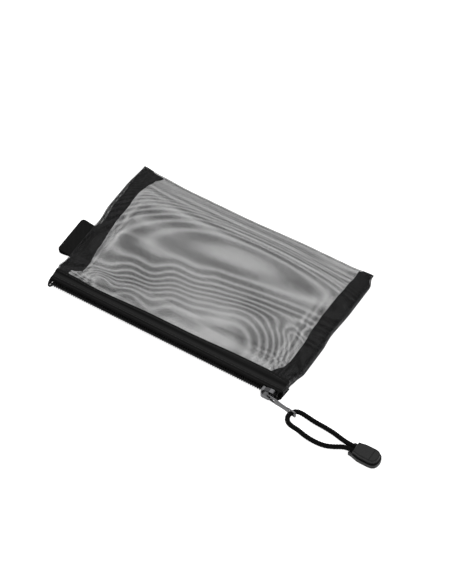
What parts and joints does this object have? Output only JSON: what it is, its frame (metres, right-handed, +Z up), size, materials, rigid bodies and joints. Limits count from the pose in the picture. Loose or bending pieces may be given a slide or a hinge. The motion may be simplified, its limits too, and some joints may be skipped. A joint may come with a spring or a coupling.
{
  "type": "zipper pouch",
  "caption": "Flat pouch of folded black mesh with bound side seams, a webbing side tab, a coil zip along one long edge and a cord pull on its slider.",
  "frame": {"origin": "middle of the underside of the lower mesh layer, where the pouch rests when it lies flat", "axes": "+X along the zip towards its closed end, +Y from the zip to the folded edge, +Z up off the surface it lies on"},
  "size_m": [0.2555, 0.1275, 0.0083],
  "materials": {
    "mesh": "fine black nylon mesh that lets the light through",
    "binding": "matt black woven binding tape",
    "webbing": "matt black ribbed webbing",
    "zip_tape": "matt black woven zip tape",
    "zip_coil": "black nylon wire, slightly glossy",
    "filler": "black twisted thread",
    "slider_metal": "dark nickel plate, softly glossy",
    "cord": "black braided polyester",
    "cord_end": "black moulded plastic, satin"
  },
  "bodies": {
    "pouch": {"mesh_body": "mesh", "side_binding_left": "binding", "side_binding_right": "binding", "side_tab": "webbing", "zip_tape_upper": "zip_tape", "zip_tape_lower": "zip_tape", "zip_coil_upper": "zip_coil", "zip_coil_lower": "zip_coil", "filler_cord_upper": "filler", "filler_cord_lower": "filler"},
    "slider": {"slider_body": "slider_metal"},
    "pull": {"pull_tab": "slider_metal"},
    "cord": {"pull_cord": "cord", "cord_knot": "cord", "cord_end_base": "cord_end", "cord_end_cap": "cord_end"}
  },
  "joints": [
    {"name": "slider_slide", "type": "slide", "parent": "pouch", "child": "slider", "axis": [1, 0, 0], "range_m": [-0.154, 0], "deforming": ["zip_coil_upper", "zip_coil_lower", "filler_cord_upper", "filler_cord_lower"]},
    {"name": "pull_tab_swing", "type": "hinge", "parent": "slider", "child": "pull", "pos_m": [0.0777, -0.05915, 0.0041], "axis": [0, 0, 1], "range_deg": [-135, 0]},
    {"name": "cord_swing", "type": "hinge", "parent": "pull", "child": "cord", "pos_m": [0.10146, -0.0645, 0.0041], "axis": [0, 0, 1], "range_deg": [-40, 0]}
  ]
}
